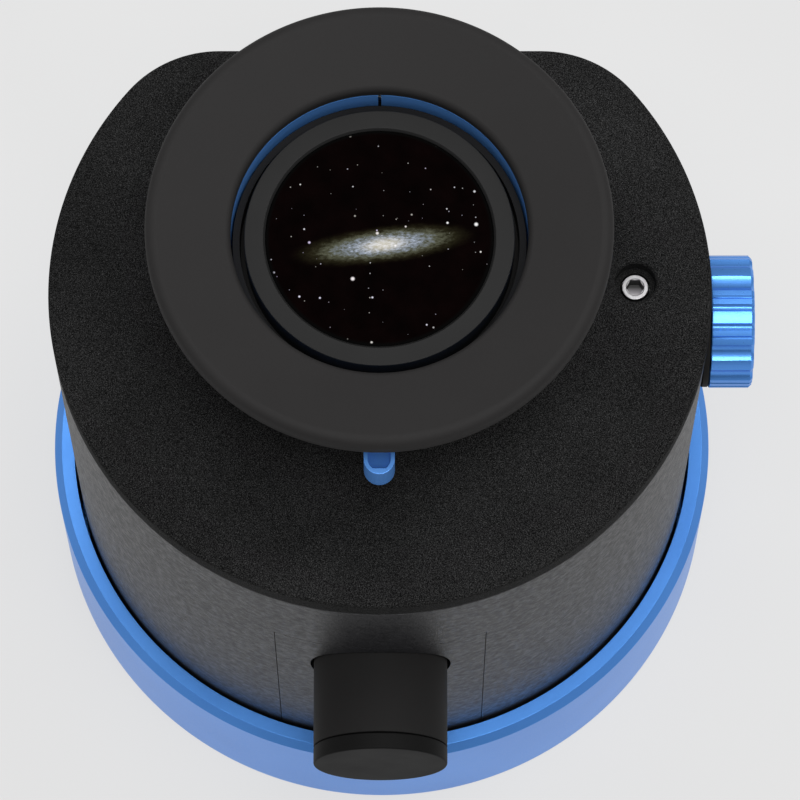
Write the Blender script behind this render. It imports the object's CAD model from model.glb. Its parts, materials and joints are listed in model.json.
# An optical body standing on its front ring, with the optical axis upright.
# The front ring is at the bottom; the end plate, focus ring, eyepiece and eyeguard follow at the
# top. The tube's flat side faces +Y, the battery tube sticks out towards -Y and the focus knob
# towards +X. The CAD pieces that show are remade in finer mesh, and all pieces get materials.
import json
import math

import bmesh
import bpy
from mathutils import Matrix, Vector

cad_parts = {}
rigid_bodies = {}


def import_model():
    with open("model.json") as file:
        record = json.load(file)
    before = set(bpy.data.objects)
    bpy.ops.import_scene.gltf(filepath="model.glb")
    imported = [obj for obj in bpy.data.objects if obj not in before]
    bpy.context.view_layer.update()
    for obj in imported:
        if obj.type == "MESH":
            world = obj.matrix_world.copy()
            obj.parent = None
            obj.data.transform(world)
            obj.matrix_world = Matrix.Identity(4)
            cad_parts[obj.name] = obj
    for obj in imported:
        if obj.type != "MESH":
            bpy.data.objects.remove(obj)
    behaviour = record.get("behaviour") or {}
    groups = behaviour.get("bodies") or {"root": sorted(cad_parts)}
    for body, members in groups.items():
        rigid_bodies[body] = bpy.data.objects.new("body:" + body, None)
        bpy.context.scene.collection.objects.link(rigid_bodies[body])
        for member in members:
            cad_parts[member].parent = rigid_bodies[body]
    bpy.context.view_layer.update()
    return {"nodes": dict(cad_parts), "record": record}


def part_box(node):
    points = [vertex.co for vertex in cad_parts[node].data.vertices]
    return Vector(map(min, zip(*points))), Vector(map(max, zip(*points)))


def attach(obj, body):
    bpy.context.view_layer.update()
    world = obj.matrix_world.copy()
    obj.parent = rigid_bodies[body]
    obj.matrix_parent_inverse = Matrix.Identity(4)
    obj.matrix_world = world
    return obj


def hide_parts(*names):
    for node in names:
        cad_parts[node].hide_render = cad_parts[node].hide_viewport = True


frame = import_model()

MM = 0.001
NODES = frame["nodes"]
SCENE = bpy.context.scene


# ---------------------------------------------------------------- sizes taken from the CAD, in mm
def middle(box, axis):
    return (box[0][axis] + box[1][axis]) / 2


def half(box, axis):
    return (box[1][axis] - box[0][axis]) / 2


ring_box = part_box("front_ring")
AXIS = Vector((middle(ring_box, 0), middle(ring_box, 1), 0))       # foot of the optical axis, metres


def mm_box(name):
    """low and high corner of a CAD piece in mm, measured from the optical axis"""
    low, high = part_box(name)
    return (low - AXIS) / MM, (high - AXIS) / MM


_, ring_high = mm_box("front_ring")
RING_R, RING_TOP = ring_high.x, ring_high.z

shell_low, shell_high = mm_box("body_shell")
SHELL_BOTTOM, SHELL_TOP = shell_low.z, shell_high.z

plate_low, plate_high = mm_box("rear_plate")
PLATE_BOTTOM, PLATE_TOP = plate_low.z, plate_high.z
TUBE_R = plate_high.x
FLAT_Y = plate_high.y
FLAT_CORNER_R = 18.6                 # between the flat side and the round wall

guard_low, guard_high = mm_box("eyeguard")
GUARD_R, GUARD_BOTTOM, GUARD_TOP = guard_high.x, guard_low.z, guard_high.z

focus_low, focus_high = mm_box("split_focus_ring")
FOCUS_BOTTOM, FOCUS_TOP = focus_low.z, focus_high.z
LEVER_TIP_Y = focus_low.y

knob_box = mm_box("focus_knob")
KNOB_X0, KNOB_X1 = knob_box[0].x, knob_box[1].x
KNOB_Y, KNOB_Z = middle(knob_box, 1), middle(knob_box, 2)
KNOB_R = half(knob_box, 2)

cap_box = mm_box("battery_cap")
BATTERY_Z = middle(cap_box, 2)
BATTERY_R = half(cap_box, 2)
CAP_END = -cap_box[0].y              # distances along -Y
CAP_SEAM = -mm_box("battery_tube")[0].y

screw_box = mm_box("tension_screw")
SET_X, SET_Y = middle(screw_box, 0), middle(screw_box, 1)
SET_R, SET_TOP = half(screw_box, 0), screw_box[1].z


# ---------------------------------------------------------------- placing shapes, in mm
def along_x(y, z):
    """local height runs along +X, local x along +Y, local y along +Z"""
    return Matrix(((0, 0, 1, 0), (1, 0, 0, y), (0, 1, 0, z), (0, 0, 0, 1)))


def along_neg_y(x, z):
    """local height runs along -Y, local x along +X, local y along +Z"""
    return Matrix(((1, 0, 0, x), (0, 0, -1, 0), (0, 1, 0, z), (0, 0, 0, 1)))


def at_xy(x, y):
    return Matrix.Translation((x, y, 0))


def crosswise(y, z):
    """local height runs along +X, turned about Y"""
    return Matrix.Translation((0, y, z)) @ Matrix.Rotation(math.pi / 2, 4, "Y")


UPRIGHT = Matrix.Identity(4)
KNOB_PLACE = along_x(KNOB_Y, KNOB_Z)
BATTERY_PLACE = along_neg_y(0, BATTERY_Z)
SET_PLACE = at_xy(SET_X, SET_Y)


# ---------------------------------------------------------------- mesh helpers, in mm
def round_corners(profile, radius=0.2, steps=3):
    """round the corners of a closed [radius, height] profile, but not those on the axis;
    a third value on a point is its own corner radius"""
    points = []
    for i, (r, h, *own) in enumerate(profile):
        before, after = profile[i - 1], profile[(i + 1) % len(profile)]
        to_before = Vector((before[0] - r, before[1] - h))
        to_after = Vector((after[0] - r, after[1] - h))
        if r < 1e-6:
            points.append((r, h))
            continue
        angle = to_before.angle(to_after)
        if abs(angle - math.pi) < 0.06:          # nearly straight
            points.append((r, h))
            continue
        corner_r = own[0] if own else radius
        reach = min(corner_r / math.tan(angle / 2), 0.45 * to_before.length, 0.45 * to_after.length)
        corner = Vector((r, h))
        start = corner + to_before.normalized() * reach
        end = corner + to_after.normalized() * reach
        for s in range(steps + 1):
            u = s / steps
            point = (1 - u) ** 2 * start + 2 * u * (1 - u) * corner + u ** 2 * end
            points.append((point.x, point.y))
    return points


def arc(centre_r, centre_h, radius, start, end, steps):
    """profile points along an arc; start and end in degrees"""
    angles = [math.radians(start + (end - start) * i / steps) for i in range(steps + 1)]
    return [(centre_r + radius * math.cos(a), centre_h + radius * math.sin(a)) for a in angles]


def smooth(ob, sharp):
    for polygon in ob.data.polygons:
        polygon.use_smooth = True
    ob.data.set_sharp_from_angle(angle=math.radians(sharp))


def add_object(bm, sharp=33, name="shape"):
    """make an object; shapes are drawn about the optical axis and moved to it here"""
    bmesh.ops.translate(bm, verts=bm.verts, vec=AXIS)
    bmesh.ops.recalc_face_normals(bm, faces=bm.faces)
    mesh = bpy.data.meshes.new(name)
    bm.to_mesh(mesh)
    bm.free()
    ob = bpy.data.objects.new(name, mesh)
    SCENE.collection.objects.link(ob)
    smooth(ob, sharp)
    return ob


def weld(ob, gap, dissolve=False):
    bm = bmesh.new()
    bm.from_mesh(ob.data)
    bmesh.ops.remove_doubles(bm, verts=bm.verts, dist=gap)
    if dissolve:
        bmesh.ops.dissolve_degenerate(bm, edges=bm.edges, dist=gap)
    bm.to_mesh(ob.data)
    bm.free()


def lathe(profile, segments=160, place=UPRIGHT, sharp=33):
    """turn a [radius, height] profile; it closes on itself unless it starts and ends on the axis"""
    bm = bmesh.new()
    angles = [2 * math.pi * i / segments for i in range(segments)]

    def vert(x, y, h):
        return bm.verts.new((place @ Vector((x, y, h))) * MM)

    rings = []
    for r, h in profile:
        if r < 1e-6:
            rings.append([vert(0, 0, h)])
        else:
            rings.append([vert(r * math.cos(a), r * math.sin(a), h) for a in angles])
    pairs = list(zip(rings, rings[1:]))
    if len(rings[0]) > 1:
        pairs.append((rings[-1], rings[0]))
    for a, b in pairs:
        for i in range(segments):
            j = (i + 1) % segments
            if len(a) == 1:
                bm.faces.new((a[0], b[i], b[j]))
            elif len(b) == 1:
                bm.faces.new((a[i], a[j], b[0]))
            else:
                bm.faces.new((a[i], a[j], b[j], b[i]))
    return add_object(bm, sharp)


def stack(levels, place=UPRIGHT, closed=False, sharp=33):
    """walls between outlines of equal length given as (points, height); ends capped, or joined
    when closed"""
    bm = bmesh.new()
    rings = [[bm.verts.new((place @ Vector((x, y, h))) * MM) for x, y in points]
             for points, h in levels]
    count = len(rings[0])
    pairs = list(zip(rings, rings[1:]))
    if closed:
        pairs.append((rings[-1], rings[0]))
    for a, b in pairs:
        for i in range(count):
            j = (i + 1) % count
            bm.faces.new((a[i], a[j], b[j], b[i]))
    if not closed:
        bm.faces.new(rings[0])
        bm.faces.new(list(reversed(rings[-1])))
    return add_object(bm, sharp)


def inset_stack(outline, edge, place=UPRIGHT, sharp=33):
    """a solid whose sides follow [inset, height] stations of an outline function"""
    return stack([(outline(inset), h) for inset, h in edge], place, sharp=sharp)


def rod(radius, span, segments=64, place=UPRIGHT, flare=0.0):
    """a plain cylinder; a flare widens it at the upper end and runs on past that end"""
    low, high = span
    profile = [(0, low), (radius, low), (radius, high), (0, high)]
    if flare:
        wide, past = radius + flare, high + 5
        profile[2:] = [(radius, high - flare), (wide, high), (wide, past), (0, past)]
    return lathe(profile, segments, place)


def block(x, y, z, place=UPRIGHT):
    corners = [(x[0], y[0]), (x[1], y[0]), (x[1], y[1]), (x[0], y[1])]
    return stack([(corners, z[0]), (corners, z[1])], place)


CUT, ADD, KEEP = "DIFFERENCE", "UNION", "INTERSECT"


def carve(ob, *steps, sharp=33):
    """apply (operation, cutter) steps to the mesh and drop the cutters"""
    for operation, cutter in steps:
        boolean = ob.modifiers.new("b", "BOOLEAN")
        boolean.operation = operation
        boolean.solver = "EXACT"
        boolean.object = cutter
    bpy.context.view_layer.update()
    graph = bpy.context.evaluated_depsgraph_get()
    mesh = bpy.data.meshes.new_from_object(ob.evaluated_get(graph))
    ob.modifiers.clear()
    ob.data = mesh
    for _, cutter in steps:
        bpy.data.objects.remove(cutter, do_unlink=True)
    weld(ob, 2e-7, dissolve=True)
    smooth(ob, sharp)
    return ob


def even_normals(ob):
    ob.modifiers.new("normals", "WEIGHTED_NORMAL").keep_sharp = True


def round_edges(ob):
    bevel = ob.modifiers.new("edges", "BEVEL")
    bevel.width = 0.12 * MM
    bevel.segments = 2
    bevel.limit_method = "ANGLE"
    bevel.angle_limit = math.radians(38)
    bevel.use_clamp_overlap = True
    even_normals(ob)


# ---------------------------------------------------------------- front ring
def front_ring():
    inner_r, rebate_r = 46.2, 52.45
    floor_h = 3.6
    return lathe(round_corners([
        (inner_r, 0), (55.4, 0), (RING_R, 0.5), (RING_R, RING_TOP - 1.4, 0.1),
        (54.65, RING_TOP, 0.1), (rebate_r, RING_TOP, 0.12), (rebate_r, floor_h),
        (inner_r, floor_h)]), 256)


# ---------------------------------------------------------------- tube: shell and service panel
SPIGOT_TOP = 27.2                    # the wall is round below this height and flat-sided above
WALL = 2.4
PANEL_HALF_X = 16.68
PANEL_Z0, PANEL_Z1 = 13.85, 81.95
PANEL_SEAM = 0.11
PANEL_CUT_Y = (-60, -36)             # reaches right through the -Y wall


def flat_round(inset, round_steps=150, corner_steps=16, flat_steps=20):
    """round outline with one flat side towards +Y, moved inwards by the inset"""
    r, flat_y, corner_r = TUBE_R - inset, FLAT_Y - inset, FLAT_CORNER_R - inset
    centre_y = flat_y - corner_r
    centre_x = math.sqrt((r - corner_r) ** 2 - centre_y ** 2)
    tangent = math.atan2(centre_y, centre_x)
    left_end = math.pi - tangent
    points = []
    for i in range(round_steps + 1):
        a = tangent - (math.pi + 2 * tangent) * i / round_steps
        points.append((r * math.cos(a), r * math.sin(a)))
    for i in range(1, corner_steps + 1):
        a = left_end + (math.pi / 2 - left_end) * i / corner_steps
        points.append((-centre_x + corner_r * math.cos(a), centre_y + corner_r * math.sin(a)))
    for i in range(1, flat_steps):
        points.append((-centre_x + 2 * centre_x * i / flat_steps, flat_y))
    for i in range(corner_steps):
        a = math.pi / 2 + (tangent - math.pi / 2) * i / corner_steps
        points.append((centre_x + corner_r * math.cos(a), centre_y + corner_r * math.sin(a)))
    return points


def full_round(inset):
    """the points of flat_round moved out along their radii onto a circle"""
    r = TUBE_R - inset
    return [(x * r / math.hypot(x, y), y * r / math.hypot(x, y)) for x, y in flat_round(inset)]


def tube_wall():
    stations = [                     # outline, inset, height
        (full_round, WALL, SHELL_BOTTOM),
        (full_round, 0.2, SHELL_BOTTOM),
        (full_round, 0, SHELL_BOTTOM + 0.2),
        (full_round, 0, SPIGOT_TOP),
        (flat_round, 0, SPIGOT_TOP),
        (flat_round, 0, SHELL_TOP - 0.25),
        (flat_round, 0.07, SHELL_TOP - 0.07),
        (flat_round, 0.25, SHELL_TOP),
        (flat_round, WALL, SHELL_TOP),
        (flat_round, WALL, SPIGOT_TOP - WALL),
        (full_round, WALL, SPIGOT_TOP - WALL)]
    wall = stack([(outline(inset), h) for outline, inset, h in stations], closed=True)
    weld(wall, 1e-6)                 # the two outlines share their points on the round side
    smooth(wall, 33)
    return wall


def body_shell():
    shaft_r, seat_r, seat_x = 2.9, 10.8, 50.7
    shaft_hole = [(0, 44), (shaft_r, 44), (shaft_r, seat_x), (seat_r, seat_x), (seat_r, 60), (0, 60)]
    flat_side_holes = [(57.5, 1.65, 40), (78.5, 1.65, 40), (68, 4.3, 48)]     # z, radius, segments
    wall = tube_wall()
    window = block(x=(-PANEL_HALF_X - PANEL_SEAM, PANEL_HALF_X + PANEL_SEAM), y=PANEL_CUT_Y,
                   z=(PANEL_Z0 - PANEL_SEAM, PANEL_Z1 + PANEL_SEAM))
    cuts = [window, lathe(shaft_hole, 96, KNOB_PLACE)]
    for z, radius, segments in flat_side_holes:
        cuts.append(rod(radius, span=(-44, -33), segments=segments, place=along_neg_y(0, z)))
    return carve(wall, *((CUT, cutter) for cutter in cuts))


def service_panel():
    battery_hole_r = 11.24
    return carve(
        tube_wall(),
        (KEEP, block(x=(-PANEL_HALF_X, PANEL_HALF_X), y=PANEL_CUT_Y, z=(PANEL_Z0, PANEL_Z1))),
        (CUT, rod(battery_hole_r, span=(30, 60), segments=128, place=BATTERY_PLACE)))


# ---------------------------------------------------------------- end plate
def rear_plate():
    low = 95                         # cutters start here
    edge = [                         # inset, height
        (0.25, PLATE_BOTTOM), (0.07, PLATE_BOTTOM + 0.07), (0, PLATE_BOTTOM + 0.25),
        (0, PLATE_TOP - 0.7), (0.06, PLATE_TOP - 0.42), (0.2, PLATE_TOP - 0.18),
        (0.42, PLATE_TOP - 0.05), (0.7, PLATE_TOP)]
    plate = inset_stack(flat_round, edge)
    cuts = [
        # eyepiece opening
        rod(24.0, span=(low, PLATE_TOP), segments=160, flare=0.3),
        # recess and hole for the set screw
        rod(3.24, span=(SET_TOP - 0.2, PLATE_TOP), segments=96, place=SET_PLACE, flare=0.28),
        rod(SET_R + 0.3, span=(low, 105), place=SET_PLACE),
        # hole that stops short of the top face
        rod(1.5, span=(low, PLATE_TOP - 1.4), segments=40, place=at_xy(45, 5.8))]
    for tag in "abcd":
        box = mm_box("plate_screw_" + tag)
        place = at_xy(middle(box, 0), middle(box, 1))
        cuts += [
            rod(2.9, span=(PLATE_TOP - 1.9, PLATE_TOP), place=place, flare=0.15),
            rod(1.65, span=(low, PLATE_TOP - 1), segments=40, place=place)]
    return carve(plate, *((CUT, cutter) for cutter in cuts))


# ---------------------------------------------------------------- eyeguard and eyepiece
def eyeguard():
    """soft dished flange, its rim standing higher than the lip of the opening"""
    opening_r, lip_top, rim_bottom = 22.6, 133.1, 131.9
    under_r, rim_r, lip_r = 1.5, 1.6, 1.2        # arc radii of the section
    profile = (
        [(opening_r + 0.5, GUARD_BOTTOM), (29.5, GUARD_BOTTOM)]
        + arc(GUARD_R - under_r, rim_bottom + under_r, under_r, start=-75, end=0, steps=8)
        + arc(GUARD_R - rim_r, GUARD_TOP - rim_r, rim_r, start=0, end=105, steps=16)
        + arc(opening_r + lip_r, lip_top - lip_r, lip_r, start=105, end=180, steps=12)
        + [(opening_r, GUARD_BOTTOM + 0.5)])
    return lathe(profile, 256, sharp=40)


def eyepiece_barrel():
    inner_r, outer_r, shoulder_r = 18.2, 22.45, 16.5
    bottom, top = 109.4, 126.8
    profile = [
        (inner_r, bottom), (outer_r, bottom), (outer_r, top, 0.12), (21.35, top, 0.1),
        (21.3, 124.0), (shoulder_r, 124.0), (shoulder_r, 122.9), (inner_r, 121.4)]
    slot_turn = Matrix.Rotation(math.radians(-45), 4, "Z")
    return carve(
        lathe(round_corners(profile, 0.12), 200),
        (CUT, block(x=(-1.7, 1.7), y=(20.8, 23.8), z=(109, 121.5), place=slot_turn)))


def eyepiece_bezel():
    bottom, top, outer_r, foot_r = 124.15, 129.5, 20.6, 16.7
    profile = [
        (17.55, 125.9), (foot_r, 125.9), (foot_r, bottom), (outer_r, bottom),
        (outer_r, top, 0.18), (17.75, top, 0.2), (17.42, 129.1, 0.1), (17.42, 127.0, 0.05),
        (17.55, 126.5, 0.05)]
    return lathe(round_corners(profile, 0.1, steps=5), 256)


def eye_lens():
    """round window with a slightly domed top; the profile is [radius, height]"""
    return lathe([
        (0, 126.0), (17.1, 126.0), (17.3, 126.2), (17.3, 128.95), (17.22, 129.12), (17.05, 129.2),
        (14, 129.28), (10, 129.36), (5, 129.42), (0, 129.44)], 200, sharp=40)


# ---------------------------------------------------------------- focus ring with its lever
LEVER_WIDTH = 4.7
LEVER_BOTTOM, LEVER_TOP = 122.3, 128.15


def lever_outline(inset, root_y):
    """round tip towards -Y, square end at root_y"""
    w = LEVER_WIDTH / 2 - inset
    tip = [(w * math.cos(math.pi + math.pi * i / 24),
            LEVER_TIP_Y + LEVER_WIDTH / 2 + w * math.sin(math.pi + math.pi * i / 24))
           for i in range(25)]
    return tip + [(w, root_y), (-w, root_y)]


def split_focus_ring():
    inner_r, outer_r = 22.75, 29
    ring = lathe(round_corners([
        (inner_r, FOCUS_BOTTOM), (outer_r, FOCUS_BOTTOM), (outer_r, FOCUS_TOP),
        (inner_r, FOCUS_TOP, 0.04)], 0.25), 224)
    lever_edge = [                   # inset, height
        (0.2, LEVER_BOTTOM), (0.06, LEVER_BOTTOM + 0.06), (0, LEVER_BOTTOM + 0.2),
        (0, LEVER_TOP - 0.12), (0.035, LEVER_TOP - 0.035), (0.12, LEVER_TOP)]
    lever = inset_stack(lambda inset: lever_outline(inset, root_y=-26.5), lever_edge)
    # hollow in the lever's top: a lying cylinder kept inside a narrower lever outline
    hollow = carve(
        rod(3.4, span=(-3, 3), segments=96, place=crosswise(y=-33.4, z=LEVER_TOP + 1.6)),
        (KEEP, inset_stack(lambda inset: lever_outline(inset, root_y=-29.6),
                           [(0.62, 120), (0.62, 140)])))
    clamp_screw = crosswise(y=25.2, z=123.7)
    return carve(
        ring, (ADD, lever), (CUT, hollow),
        (CUT, block(x=(-0.25, 0.25), y=(20, 32), z=(119, 133))),             # split
        (CUT, rod(1.2, span=(-9, 9), segments=40, place=clamp_screw)),
        (CUT, rod(2.1, span=(5.4, 20), segments=48, place=clamp_screw)))


# ---------------------------------------------------------------- focus knob and its collar
# Half of one quarter of the knob's rim: width in degrees, depth of groove.
KNOB_RIM = [(5.0, 0), (6.5, 0.34), (4.7, 0), (3.2, 0.2), (4.8, 0), (15.3, 0.62), (5.5, 0)]
KNOB_RIM_TURN = 105                  # degrees, middle of the first quarter
GRUB_ANGLE = math.radians(285)


def knob_outline(inset):
    side = []                        # (degrees from the middle of the quarter, radius)
    start = 0.0
    for width, depth in KNOB_RIM:
        steps = max(3, int(width / (0.55 if depth else 1.2)))
        for i in range(steps):
            t = 2 * i / steps - 1
            side.append((start + width * i / steps, KNOB_R - depth * (1 - t * t)))
        start += width
    side.append((start, KNOB_R))
    quarter = [(-a, r) for a, r in reversed(side[1:-1])] + side
    shrink = 1 - inset / KNOB_R
    points = []
    for q in range(4):
        for offset, r in quarter:
            a = math.radians(KNOB_RIM_TURN + 90 * q + offset)
            points.append((r * math.cos(a) * shrink, r * math.sin(a) * shrink))
    return points


def focus_knob():
    edge = [                         # inset, height along +X
        (0.3, KNOB_X0), (0.09, KNOB_X0 + 0.09), (0, KNOB_X0 + 0.3), (0, KNOB_X1 - 0.5),
        (0.02, KNOB_X1 - 0.45), (0.45, KNOB_X1 - 0.02), (0.5, KNOB_X1)]
    grub_x = 56.1
    grub_place = (Matrix.Translation((grub_x, KNOB_Y, KNOB_Z))
                  @ Matrix.Rotation(GRUB_ANGLE - math.pi / 2, 4, "X"))
    return carve(
        inset_stack(knob_outline, edge, KNOB_PLACE, sharp=24),
        (CUT, rod(2.8, span=(50, 57.5), place=KNOB_PLACE)),                  # shaft bore
        (CUT, rod(1.3, span=(0, 20), segments=40, place=grub_place)),
        sharp=24)


def knob_collar():
    bore_r, outer_r, x0, x1 = 3.0, 10.45, 50.9, 52.2
    profile = [(bore_r, x0), (9.9, x0), (outer_r, 51.3), (outer_r, x1), (bore_r, x1)]
    return lathe(round_corners(profile, 0.06), 128, KNOB_PLACE)


# ---------------------------------------------------------------- battery tube and cap
def battery_tube():
    bore_r, groove_r = 9.5, 14.85
    start, floor_h = 27, 28.5        # distances along -Y
    groove = (43.6, 45.5)
    profile = [
        (0, start), (BATTERY_R - 0.6, start), (BATTERY_R, 27.6), (BATTERY_R, groove[0]),
        (groove_r, groove[0]), (groove_r, groove[1]), (BATTERY_R, groove[1]),
        (BATTERY_R, CAP_SEAM, 0.2), (bore_r, CAP_SEAM), (bore_r, floor_h), (0, floor_h)]
    tube = lathe(round_corners(profile, 0.12), 192, BATTERY_PLACE)
    side_holes = [(CUT, rod(1.4, span=(42, 47), segments=32, place=along_neg_y(x, BATTERY_Z)))
                  for x in (-13, 13)]
    floor_hole = rod(1.5, span=(25, 30), segments=32, place=BATTERY_PLACE)
    return carve(tube, *side_holes, (CUT, floor_hole))


def battery_cap():
    plug_r, hollow_r, plug_end, hollow_end = 9.2, 7.6, 61.7, 63.7
    base = CAP_SEAM + 0.2
    profile = [
        (0, hollow_end), (hollow_r, hollow_end), (hollow_r, plug_end), (plug_r, plug_end),
        (plug_r, base), (BATTERY_R, base, 0.22), (BATTERY_R, CAP_END, 0.32), (0, CAP_END)]
    return lathe(round_corners(profile, 0.12, steps=4), 192, BATTERY_PLACE)


# ---------------------------------------------------------------- set screw in the end plate
def tension_screw():
    bottom = 92.5
    hex_r = 2.5 / math.sqrt(3)       # corner radius of a hexagon 2.5 across the flats
    hexagon = [(hex_r * math.cos(math.pi * i / 3), hex_r * math.sin(math.pi * i / 3))
               for i in range(6)]
    profile = [(0, bottom), (1.4, bottom), (SET_R, 93.1), (SET_R, SET_TOP, 0.12), (0, SET_TOP)]
    lead_in = [
        (0, SET_TOP - 0.16), (hex_r - 0.12, SET_TOP - 0.16), (hex_r + 0.06, SET_TOP + 0.02),
        (hex_r + 0.06, SET_TOP + 1), (0, SET_TOP + 1)]
    return carve(
        lathe(round_corners(profile, 0.08, steps=4), 96, SET_PLACE),
        (CUT, stack([(hexagon, SET_TOP - 2.6), (hexagon, SET_TOP + 1)], SET_PLACE)),
        (CUT, lathe(lead_in, 96, SET_PLACE)))


# ---------------------------------------------------------------- swap the CAD pieces
def body_name(ob):
    """the body a CAD piece hangs under"""
    parent = ob.parent
    while not parent.name.startswith("body:"):
        parent = parent.parent
    return parent.name[5:]


BODY_OF = {name: body_name(ob) for name, ob in NODES.items()}
FINE = {}                            # CAD piece name -> finer piece

# each function is named after the piece it remakes
for build in (front_ring, body_shell, service_panel, rear_plate, eyeguard, eyepiece_barrel,
              eyepiece_bezel, eye_lens, split_focus_ring, focus_knob, knob_collar, battery_tube,
              battery_cap, tension_screw):
    piece = build.__name__
    fine = build()
    fine.name = piece + "_fine"
    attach(fine, BODY_OF[piece])
    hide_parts(piece)
    even_normals(fine)
    FINE[piece] = fine


# ---------------------------------------------------------------- shader helpers
def srgb(*values):
    """linear colour from 0-255 sRGB values"""
    shares = [v / 255 for v in values]
    return tuple(c / 12.92 if c <= 0.04045 else ((c + 0.055) / 1.055) ** 2.4 for c in shares)


BLACK, WHITE = (0, 0, 0), (1, 1, 1)


class Shader:
    """A node tree with short ways to add nodes. A value is a number, a tuple or a socket."""

    def __init__(self, owner):
        owner.use_nodes = True
        self.tree = owner.node_tree
        self.tree.nodes.clear()

    def feed(self, node, inputs):
        for key, value in inputs.items():
            socket = node.inputs[key]
            if isinstance(value, bpy.types.NodeSocket):
                self.tree.links.new(value, socket)
            elif socket.type == "RGBA":
                socket.default_value = (*value, 1)
            else:
                socket.default_value = value

    def add(self, kind, inputs, **settings):
        node = self.tree.nodes.new("ShaderNode" + kind)
        for key, value in settings.items():
            setattr(node, key, value)
        self.feed(node, inputs)
        return node

    def from_axis(self):
        """object coordinates in metres, measured from the optical axis"""
        place = self.add("TexCoord", {}).outputs["Object"]
        return self.add("VectorMath", {0: place, 1: AXIS}, operation="SUBTRACT").outputs["Vector"]

    def coords(self, scale=(1, 1, 1)):
        return self.add("Mapping", {"Vector": self.from_axis(), "Scale": scale}).outputs["Vector"]

    def split(self, vector):
        return self.add("SeparateXYZ", {0: vector}).outputs

    def noise(self, vector, scale, detail=2.0, rough=0.5, warp=0.0):
        return self.add("TexNoise", {
            "Vector": vector, "Scale": scale, "Detail": detail, "Roughness": rough,
            "Distortion": warp}).outputs["Fac"]

    def ramp(self, fac, stops):
        node = self.add("ValToRGB", {"Fac": fac})
        elements = node.color_ramp.elements
        elements.remove(elements[-1])            # a new ramp has two stops
        elements[0].position = stops[0][0]
        elements[0].color = (*stops[0][1], 1)
        for position, colour in stops[1:]:
            elements.new(position).color = (*colour, 1)
        return node.outputs["Color"]

    def tones(self, fac, dark, light):
        """two colours over the range that noise mostly fills"""
        return self.ramp(fac, [(0.3, dark), (0.7, light)])

    def remap(self, value, to=(0, 1), span=(0.3, 0.7), curve="LINEAR"):
        return self.add("MapRange", {
            "Value": value, "From Min": span[0], "From Max": span[1], "To Min": to[0],
            "To Max": to[1]}, interpolation_type=curve).outputs["Result"]

    def bump(self, height, strength, distance, under=None):
        inputs = {"Height": height, "Strength": strength, "Distance": distance}
        if under is not None:
            inputs["Normal"] = under
        return self.add("Bump", inputs).outputs["Normal"]

    def calc(self, operation, *values, clamp=False):
        inputs = dict(enumerate(values))
        return self.add("Math", inputs, operation=operation, use_clamp=clamp).outputs[0]

    def weigh(self, a, weight_a, b, weight_b):
        return self.calc("MULTIPLY_ADD", a, weight_a, self.calc("MULTIPLY", b, weight_b))

    def mix(self, fac, a, b, mode="MIX"):
        return self.add("Mix", {0: fac, 6: a, 7: b}, data_type="RGBA", blend_type=mode).outputs[2]


class Material(Shader):
    """a material with one principled shader"""

    def __init__(self, name):
        self.material = bpy.data.materials.new(name)
        super().__init__(self.material)
        self.output = self.add("OutputMaterial", {})
        self.surface = self.add("BsdfPrincipled", {})
        self.feed(self.output, {0: self.surface.outputs[0]})

    def finish(self, inputs):
        self.feed(self.surface, inputs)
        return self.material


# ---------------------------------------------------------------- materials
# Colours run from dark to light, rough is a range of roughness, grain and scale count noise
# cells per metre, and bump distances are in metres.
def powder_coat(name, dark, light, grain, rough, depth, specular):
    """fine sprayed texture: two sizes of grain in the height, a slow cloud in the tone"""
    m = Material(name)
    v = m.coords()
    fine = m.noise(v, grain, detail=3.0, rough=0.6)
    coarse = m.noise(v, grain * 0.36)
    cloud = m.noise(v, scale=40)
    tone = m.weigh(fine, 0.75, cloud, 0.25)
    height = m.weigh(fine, 0.6, coarse, 0.4)
    return m.finish({
        "Base Color": m.ramp(tone, [(0.30, dark), (0.72, light)]),
        "Roughness": m.remap(coarse, to=rough),
        "Specular IOR Level": specular,
        "Normal": m.bump(height, strength=0.55, distance=depth)})


def crackle(name, dark, light, scale):
    """coarse stippled paint: round blobs over a dark ground"""
    m = Material(name)
    v = m.coords()
    cells = m.add("TexVoronoi", {"Vector": v, "Scale": scale, "Smoothness": 0.6},
                  feature="SMOOTH_F1")
    grain = m.noise(v, scale * 0.9, detail=3.0, rough=0.6)
    cloud = m.noise(v, scale=60)
    blob = m.calc("SUBTRACT", 1.0, cells.outputs["Distance"])
    height = m.weigh(grain, 0.6, blob, 0.5)
    tone = m.calc("MULTIPLY_ADD", cloud, 0.12, height)
    between = tuple(0.78 * a + 0.22 * b for a, b in zip(dark, light))
    return m.finish({
        "Base Color": m.ramp(tone, [(0.50, dark), (0.70, between), (0.92, light)]),
        "Roughness": m.remap(grain, to=(0.70, 0.95)),
        "Specular IOR Level": 0.08,
        "Normal": m.bump(height, strength=0.8, distance=0.00012)})


def anodised(name, dark, light, rough, metallic):
    """dyed matt anodising: micro grain and faint turning marks round the optical axis"""
    m = Material(name)
    v = m.coords()
    grain = m.noise(v, scale=5200, detail=3.0, rough=0.6)
    cloud = m.noise(v, scale=55)
    marks = m.noise(m.coords(scale=(60, 60, 9000)), scale=1.0)
    marks_bump = m.bump(marks, strength=0.05, distance=0.00003)
    return m.finish({
        "Base Color": m.tones(m.weigh(grain, 0.3, cloud, 0.7), dark, light),
        "Metallic": metallic,
        "Specular IOR Level": 0.25,
        "Roughness": m.remap(grain, to=rough),
        "Normal": m.bump(grain, strength=0.12, distance=0.00002, under=marks_bump)})


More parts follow.
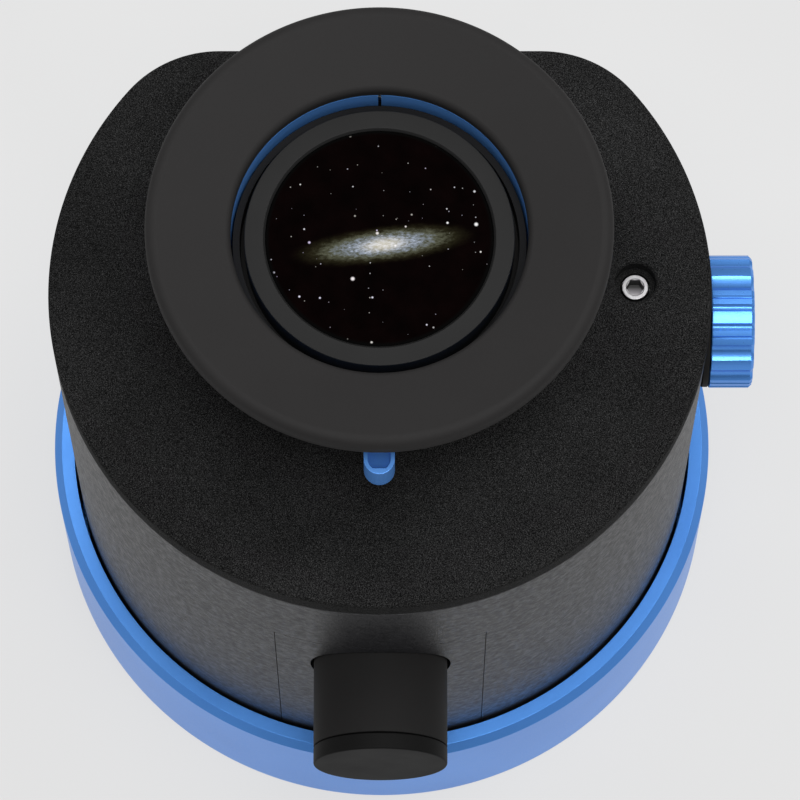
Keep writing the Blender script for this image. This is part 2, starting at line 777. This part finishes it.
def satin(name, dark, light, rough, specular, grain, strength, coat=0.0):
    """moulded or painted satin surface with faint orange peel"""
    m = Material(name)
    v = m.coords()
    peel = m.noise(v, grain)
    cloud = m.noise(v, scale=70, detail=3.0, rough=0.55)
    return m.finish({
        "Base Color": m.tones(m.weigh(peel, 0.35, cloud, 0.65), dark, light),
        "Roughness": m.remap(cloud, to=rough),
        "Specular IOR Level": specular,
        "Coat Weight": coat,
        "Normal": m.bump(peel, strength, distance=0.00005)})


def bare_metal(name, dark, light, rough, stretch, strength):
    """turned or brushed metal; stretch is the marks' noise scale along x, y and z"""
    m = Material(name)
    marks = m.noise(m.coords(stretch), scale=1.0, detail=3.0, rough=0.6)
    cloud = m.noise(m.coords(), scale=220)
    return m.finish({
        "Base Color": m.tones(m.weigh(marks, 0.4, cloud, 0.6), dark, light),
        "Metallic": 1.0,
        "Roughness": m.remap(marks, to=rough),
        "Normal": m.bump(marks, strength, distance=0.00003)})


def coated_glass(name, tint, haze):
    """clear body with a coloured sheen that changes with the angle"""
    m = Material(name)
    facing = m.add("LayerWeight", {"Blend": 0.35}).outputs["Facing"]
    cloud = m.noise(m.coords(), scale=160)
    sheen = m.calc("MULTIPLY_ADD", cloud, 0.08, facing)
    return m.finish({
        "Base Color": m.ramp(sheen, [(0.0, tint), (0.5, (0.9, 0.93, 0.95)),
                                     (1.0, (0.75, 0.70, 0.85))]),
        "Roughness": m.remap(cloud, to=(haze * 0.6, haze * 1.4)),
        "IOR": 1.52,
        "Transmission Weight": 0.92,
        "Coat Weight": 0.4})


def circuit(name):
    """green board in a regular weave, with gold patches"""
    m = Material(name)
    v = m.coords()
    weave = m.add("TexBrick", {
        "Vector": m.coords(), "Scale": 420, "Mortar Size": 0.035,
        "Color1": (0.010, 0.085, 0.040), "Color2": (0.013, 0.11, 0.052),
        "Mortar": (0.03, 0.20, 0.10)})
    patches = m.noise(v, scale=900)
    gold = (0.55, 0.40, 0.12)
    return m.finish({
        "Base Color": m.mix(m.remap(patches, span=(0.62, 0.68)), weave.outputs["Color"], gold),
        "Roughness": m.remap(patches, to=(0.3, 0.5)),
        "Normal": m.bump(weave.outputs["Fac"], strength=0.3, distance=0.00003)})


def stars(m, flat, density, share, radius, gain, seed, soft):
    """round dots in a share of random cells; density is cells per mm, radius a range in mm"""
    place = m.add("Mapping", {"Vector": flat, "Location": (seed * 3.7, seed * 1.3, 0)}).outputs[0]
    cells = m.add("TexVoronoi", {"Vector": place, "Scale": density}, voronoi_dimensions="2D")
    draw = m.add("SeparateColor", {0: cells.outputs["Color"]}).outputs     # three random values
    lit = m.calc("GREATER_THAN", draw[0], 1 - share)
    size = m.remap(m.calc("POWER", draw[1], 2.2), to=radius, span=(0, 1))
    distance = m.calc("DIVIDE", m.calc("DIVIDE", cells.outputs["Distance"], density), size)
    dot = m.remap(distance, span=(1.0, 1 - soft), curve="SMOOTHSTEP")
    level = m.calc("MULTIPLY", lit, m.remap(draw[1], to=(0.35, 1.0), span=(0, 1)))
    bright = m.calc("MULTIPLY", m.calc("MULTIPLY", dot, level), gain, clamp=True)
    tint = m.ramp(draw[2], [(0.0, (0.82, 0.80, 1.0)), (0.45, WHITE), (0.8, (1, 0.95, 0.86)),
                            (1.0, (0.80, 0.70, 1.0))])
    return m.mix(1.0, tint, m.mix(bright, BLACK, WHITE), "MULTIPLY")


def spindle(m, x, y):
    """one tilted spindle of mottled haze with a brighter heart, in mm"""
    tilt = math.radians(7.5)
    centre_x, centre_y = 0.6, -1.2
    dx = m.calc("SUBTRACT", x, centre_x)
    dy = m.calc("SUBTRACT", y, centre_y)
    along = m.calc("ADD", m.calc("MULTIPLY", dx, math.cos(tilt)),
                   m.calc("MULTIPLY", dy, math.sin(tilt)))
    across = m.calc("SUBTRACT", m.calc("MULTIPLY", dy, math.cos(tilt)),
                    m.calc("MULTIPLY", dx, math.sin(tilt)))
    place = m.add("CombineXYZ", {0: m.calc("MULTIPLY", along, 0.45), 1: across}).outputs[0]
    waves = m.noise(place, scale=0.9, detail=4.0, rough=0.6)
    mottle = m.noise(place, scale=2.6, detail=5.0, rough=0.7, warp=0.4)
    shift = m.calc("MULTIPLY_ADD", waves, 1.6, -0.8)
    wavy = m.calc("ADD", across, m.calc("MULTIPLY", shift, 0.55))

    def ellipse(half_length, half_width):
        """1 on the ellipse, 0 at its centre"""
        squares = [m.calc("POWER", m.calc("ABSOLUTE", m.calc("DIVIDE", value, size)), 2.0)
                   for value, size in ((along, half_length), (wavy, half_width))]
        return m.calc("SQRT", m.calc("ADD", *squares))

    body = m.remap(ellipse(13.4, 2.9), span=(1.15, 0.1), curve="SMOOTHERSTEP")
    core = m.remap(ellipse(5.2, 1.7), span=(1.0, 0.0), curve="SMOOTHERSTEP")
    haze = m.ramp(m.calc("MULTIPLY", body, m.remap(mottle, to=(0.35, 1.25))), [
        (0.0, BLACK), (0.16, srgb(34, 33, 20)), (0.42, srgb(84, 86, 70)),
        (0.7, srgb(122, 130, 138)), (1.0, srgb(172, 182, 200))])
    glow = m.calc("MULTIPLY", core, m.remap(mottle, to=(0.6, 1.0)), clamp=True)
    return m.mix(1.0, haze, m.mix(glow, BLACK, srgb(214, 204, 176)), "SCREEN")


def night_sky(name):
    """lit picture of a night sky: random star dots and one tilted spindle of haze"""
    m = Material(name)
    place = m.split(m.from_axis())
    x = m.calc("MULTIPLY", place["X"], 1000.0)                   # mm
    y = m.calc("MULTIPLY", place["Y"], 1000.0)
    flat = m.add("CombineXYZ", {0: x, 1: y}).outputs[0]
    small = stars(m, flat, density=0.26, share=0.42, radius=(0.13, 0.26), gain=1.0, seed=1.0,
                  soft=0.75)
    large = stars(m, flat, density=0.11, share=0.5, radius=(0.20, 0.42), gain=1.0, seed=5.0,
                  soft=0.75)
    faint = stars(m, flat, density=0.5, share=0.2, radius=(0.08, 0.14), gain=0.5, seed=9.0,
                  soft=0.9)
    sky = m.mix(1.0, m.mix(1.0, small, large, "ADD"), faint, "ADD")
    picture = m.mix(1.0, sky, spindle(m, x, y), "SCREEN")
    ground = m.tones(m.noise(flat, scale=0.22, detail=3.0), srgb(3, 1, 1), srgb(9, 3, 3))
    picture = m.mix(1.0, picture, ground, "ADD")
    # nothing outside the lit circle
    radius = m.calc("SQRT", m.calc("ADD", m.calc("MULTIPLY", x, x), m.calc("MULTIPLY", y, y)))
    picture = m.mix(m.remap(radius, span=(16.7, 17.15)), picture, (0.002, 0.002, 0.002))
    return m.finish({
        "Base Color": (0.0006, 0.0005, 0.0005),
        "Emission Color": picture,
        "Emission Strength": 1.0,
        "Roughness": m.remap(m.noise(flat, scale=3.0), to=(0.04, 0.08)),
        "Specular IOR Level": 0.0})


def socket_steel(name):
    """bright screw face, dark socket walls, a dull socket floor that is lighter towards -Y"""
    m = Material(name)
    place = m.split(m.from_axis())
    normal = m.split(m.add("NewGeometry", {}).outputs["True Normal"])
    grain = m.noise(m.from_axis(), scale=2600, detail=3)
    deep = m.remap(place["Z"], to=(1, 0), span=((SET_TOP - 0.25) * MM, (SET_TOP - 0.2) * MM))
    wall = m.remap(normal["Z"], to=(1, 0), span=(0.2, 0.6))
    face = m.tones(grain, (0.50, 0.49, 0.50), (0.62, 0.61, 0.62))
    across = m.remap(place["Y"], span=((SET_Y - 1.2) * MM, (SET_Y + 0.9) * MM))
    bottom = m.ramp(across, [(0.0, (0.52, 0.50, 0.51)), (0.55, (0.20, 0.19, 0.20)),
                             (1.0, (0.03, 0.03, 0.03))])
    return m.finish({
        "Base Color": m.mix(deep, face, m.mix(wall, bottom, (0.02, 0.02, 0.02))),
        "Metallic": m.remap(deep, to=(0.85, 0.35), span=(0, 1)),
        "Emission Color": m.mix(wall, bottom, BLACK),
        "Emission Strength": m.calc("MULTIPLY", deep, 0.6),
        "Roughness": m.remap(grain, to=(0.42, 0.56)),
        "Normal": m.bump(grain, strength=0.06, distance=0.00002)})


BLUE = srgb(84, 146, 228), srgb(94, 158, 240)

MATERIALS = {                        # by CAD material slot
    "grey_powder_coat": powder_coat(
        "powder_grey", srgb(10, 10, 11), srgb(45, 45, 48), grain=2500, rough=(0.40, 0.56),
        depth=0.00020, specular=0.35),
    "black_crackle": crackle("crackle_black", srgb(4, 4, 4), srgb(84, 84, 84), scale=6400),
    "anodised_blue": anodised("anodised_blue", *BLUE, rough=(0.30, 0.42), metallic=0.75),
    "soft_rubber": satin(
        "soft_rubber", srgb(38, 37, 37), srgb(43, 42, 42), rough=(0.55, 0.68), specular=0.12,
        grain=3800, strength=0.10),
    "black_satin": satin(
        "black_satin", srgb(16, 16, 16), srgb(23, 23, 23), rough=(0.42, 0.55), specular=0.25,
        grain=3000, strength=0.08),
    "bezel_plastic": satin(
        "bezel_plastic", srgb(22, 22, 22), srgb(27, 27, 27), rough=(0.5, 0.62), specular=0.22,
        grain=4200, strength=0.06),
    "bright_steel": bare_metal(
        "bright_steel", (0.62, 0.62, 0.64), (0.74, 0.74, 0.76), rough=(0.18, 0.3),
        stretch=(90, 90, 6000), strength=0.08),
    "machined_aluminium": bare_metal(
        "machined_aluminium", (0.50, 0.51, 0.53), (0.64, 0.65, 0.67), rough=(0.28, 0.42),
        stretch=(120, 120, 4000), strength=0.10),
    "contact_brass": bare_metal(
        "contact_brass", (0.55, 0.38, 0.14), (0.68, 0.50, 0.22), rough=(0.25, 0.38),
        stretch=(2600, 60, 2600), strength=0.08),
    "coated_glass": coated_glass("coated_glass", tint=(0.35, 0.75, 0.55), haze=0.03),
    "mirror_coating": bare_metal(
        "mirror_coating", (0.86, 0.87, 0.88), (0.91, 0.92, 0.93), rough=(0.03, 0.06),
        stretch=(80, 80, 80), strength=0.004),
    "display_panel": satin(
        "display_panel", srgb(9, 9, 11), srgb(14, 14, 17), rough=(0.08, 0.14), specular=0.5,
        grain=900, strength=0.01, coat=0.6),
    "circuit_board": circuit("circuit_board"),
    "chip_plastic": satin(
        "chip_plastic", srgb(22, 22, 24), srgb(32, 32, 34), rough=(0.5, 0.7), specular=0.3,
        grain=5200, strength=0.25),
    "cell_wrap": satin(
        "cell_wrap", srgb(52, 94, 76), srgb(60, 104, 84), rough=(0.25, 0.35), specular=0.5,
        grain=700, strength=0.05, coat=0.3),
    "white_nylon": satin(
        "white_nylon", srgb(206, 203, 194), srgb(218, 215, 206), rough=(0.4, 0.55), specular=0.4,
        grain=1800, strength=0.08),
}

OWN_MATERIALS = {                    # finer pieces that don't wear their slot's material
    "eye_lens": night_sky("night_sky_window"),
    "tension_screw": socket_steel("socket_steel"),
    "focus_knob": anodised("anodised_blue_knob", *BLUE, rough=(0.27, 0.37), metallic=0.80),
    "split_focus_ring": anodised(
        "anodised_blue_ring", srgb(88, 150, 228), srgb(98, 160, 240), rough=(0.34, 0.46),
        metallic=0.38),
    "eyepiece_barrel": satin(
        "dark_barrel", srgb(32, 32, 32), srgb(37, 36, 36), rough=(0.55, 0.68), specular=0.06,
        grain=3200, strength=0.06),
}
for piece in ("battery_tube", "knob_collar"):
    OWN_MATERIALS[piece] = OWN_MATERIALS["eyepiece_barrel"]
OWN_MATERIALS["battery_cap"] = satin(
    "dark_cap", srgb(13, 13, 13), srgb(18, 18, 18), rough=(0.55, 0.68), specular=0.10,
    grain=3200, strength=0.06)


def paint(ob, material):
    ob.data.materials.clear()
    ob.data.materials.append(material)


slot_of = {part["node"]: part["material_slot"] for part in frame["record"]["subparts"]}
for name, ob in NODES.items():
    material = MATERIALS[slot_of[name]]
    if name in FINE:
        paint(FINE[name], OWN_MATERIALS.get(name, material))
    paint(ob, material)
    if name not in FINE:
        round_edges(ob)


# ---------------------------------------------------------------- floor, world, lights, camera
def floor_material():
    """pale floor that mostly glows evenly, and sheds less light on the pieces than it shows"""
    m = Material("pale_floor")
    colour = m.tones(m.noise(m.coords(), scale=14), srgb(228, 228, 228), srgb(231, 231, 231))
    grain = m.noise(m.coords(), scale=900)
    m.finish({
        "Base Color": colour,
        "Roughness": 0.9,
        "Specular IOR Level": 0.1,
        "Normal": m.bump(grain, strength=0.02, distance=0.0001)})
    diffuse_ray = m.add("LightPath", {}).outputs["Is Diffuse Ray"]
    strength = m.remap(diffuse_ray, to=(1.0, 0.42), span=(0, 1))
    glow = m.add("Emission", {"Color": colour, "Strength": strength})
    glow_share = 0.82
    shader = m.add("MixShader", {0: glow_share, 1: m.surface.outputs[0], 2: glow.outputs[0]})
    m.feed(m.output, {0: shader.outputs[0]})
    return m.material


def add_floor():
    bm = bmesh.new()
    bmesh.ops.create_grid(bm, x_segments=1, y_segments=1, size=1.6)
    for vert in bm.verts:
        vert.co.z = -0.0003
    floor = add_object(bm, name="floor")
    paint(floor, floor_material())


def add_world():
    """grey sky, brighter overhead and dimmer towards -Y"""
    world = bpy.data.worlds.new("studio")
    sky = Shader(world)
    output = sky.add("OutputWorld", {})
    direction = sky.split(sky.add("TexCoord", {}).outputs["Generated"])
    colour = sky.ramp(direction["Z"], [(0.0, (0.30, 0.30, 0.31)), (0.4, (0.80, 0.80, 0.80)),
                                       (1.0, WHITE)])
    side = sky.remap(direction["Y"], to=(0.30, 1.0), span=(-1.0, -0.8))
    dimmed = sky.add("VectorMath", {0: colour, "Scale": side}, operation="SCALE")
    background = sky.add("Background", {"Color": dimmed.outputs["Vector"], "Strength": 0.72})
    sky.feed(output, {0: background.outputs[0]})
    SCENE.world = world


def add_area_light(name, place, target, size, power):
    """a square light, placed and aimed in metres from the optical axis"""
    light = bpy.data.lights.new(name, "AREA")
    light.shape = "RECTANGLE"
    light.size = size
    light.size_y = size
    light.energy = power
    ob = bpy.data.objects.new(name, light)
    SCENE.collection.objects.link(ob)
    ob.location = AXIS + Vector(place)
    ob.rotation_euler = (Vector(target) - Vector(place)).to_track_quat("-Z", "Y").to_euler()


def add_camera():
    """long lens looking down steeply from the -Y side"""
    elevation = math.radians(72.07)
    target = Vector((0.00312, 0, 0.0490))
    distance = 0.8674
    lens = bpy.data.cameras.new("view")
    lens.lens = 234
    lens.sensor_width = 36
    lens.clip_start = 0.05
    lens.clip_end = 20
    camera = bpy.data.objects.new("view", lens)
    SCENE.collection.objects.link(camera)
    direction = Vector((0, -math.cos(elevation), math.sin(elevation)))
    camera.location = AXIS + target + distance * direction
    camera.rotation_euler = (math.pi / 2 - elevation, 0, 0)
    SCENE.camera = camera


add_floor()
add_world()
add_area_light("key_back", place=(-0.12, 0.22, 0.66), target=(0, 0, 0.1), size=0.25, power=0.4)
add_area_light("key_right", place=(0.34, 0.16, 0.62), target=(0.02, 0, 0.06), size=0.22, power=0.7)
add_area_light("top_soft", place=(0.06, -0.20, 0.93), target=(0, 0, 0.05), size=0.3, power=2.5)
add_camera()
SCENE.view_settings.view_transform = "Standard"
